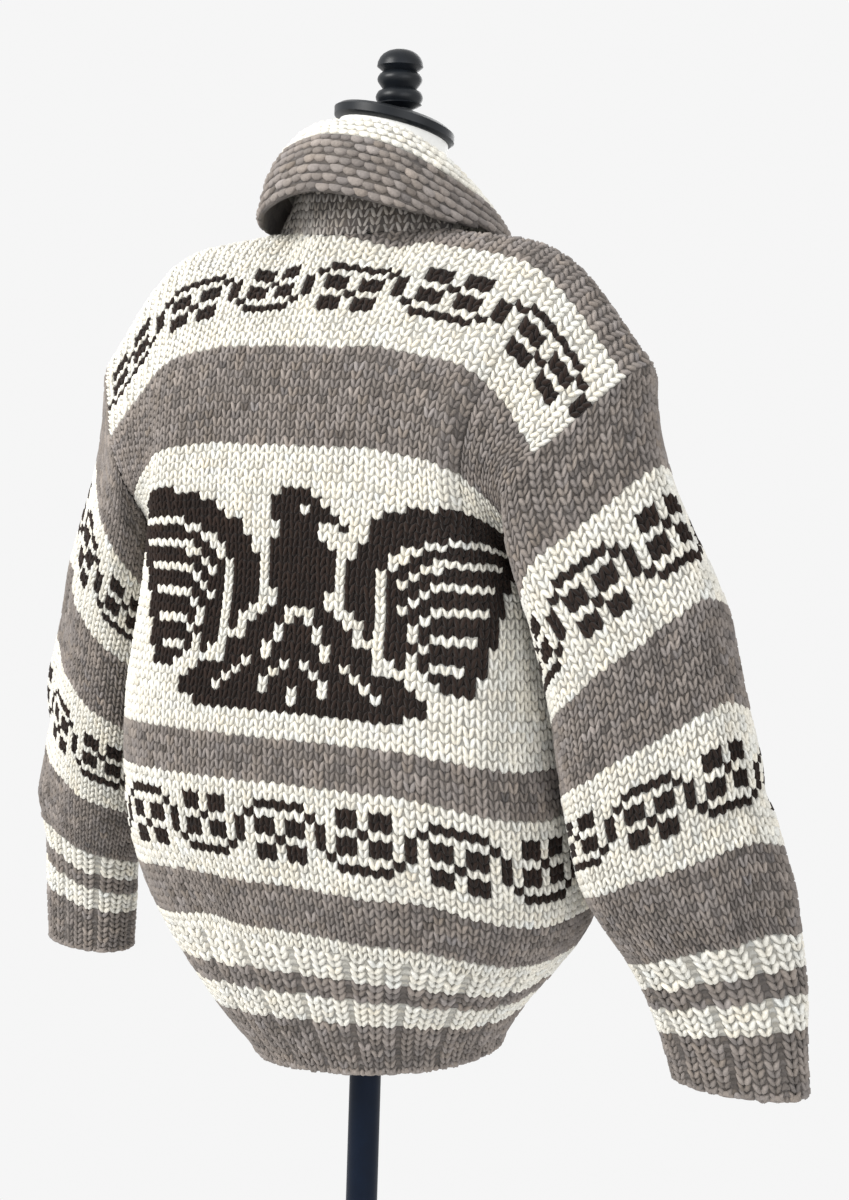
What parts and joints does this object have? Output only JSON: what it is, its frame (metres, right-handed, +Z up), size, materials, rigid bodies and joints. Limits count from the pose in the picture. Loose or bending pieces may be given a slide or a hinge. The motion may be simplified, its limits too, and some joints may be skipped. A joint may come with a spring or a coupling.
{
  "type": "cowichan sweater on a limbless dress form and stand",
  "caption": "Heavy hand-knit zipped sweater with a shawl collar, worn on a limbless dress form that stands on a pole and a round foot.",
  "frame": {"origin": "middle of the stand's underside, on the floor", "axes": "+Z up, -Y to the front of the wearer, -X to the wearer's right"},
  "size_m": [0.7625, 0.3216, 1.5203],
  "materials": {
    "knit": "thick hand-knit undyed wool, cream, grey brown and dark brown",
    "zip_tape": "woven tape",
    "zip_metal": "satin metal",
    "form_skin": "smooth white",
    "black_wood": "black satin",
    "navy_steel": "dark satin paint"
  },
  "bodies": {
    "garment_and_form": {"back": "knit", "front_left": "knit", "front_right": "knit", "sleeve_left": "knit", "sleeve_right": "knit", "collar": "knit", "zip_tape_left": "zip_tape", "zip_tape_right": "zip_tape", "zip_chain": "zip_metal", "zip_end": "zip_metal", "zip_slider": "zip_metal", "form_torso": "form_skin", "neck_cap": "black_wood", "finial": "black_wood", "pole": "navy_steel", "base": "navy_steel"},
    "pull_tab": {"zip_pull": "zip_metal"}
  },
  "joints": [
    {"name": "zip_pull_hinge", "type": "hinge", "parent": "garment_and_form", "child": "pull_tab", "pos_m": [0.00703, -0.11276, 1.17625], "axis": [-1, 0, 0], "range_deg": [0, 150]}
  ]
}
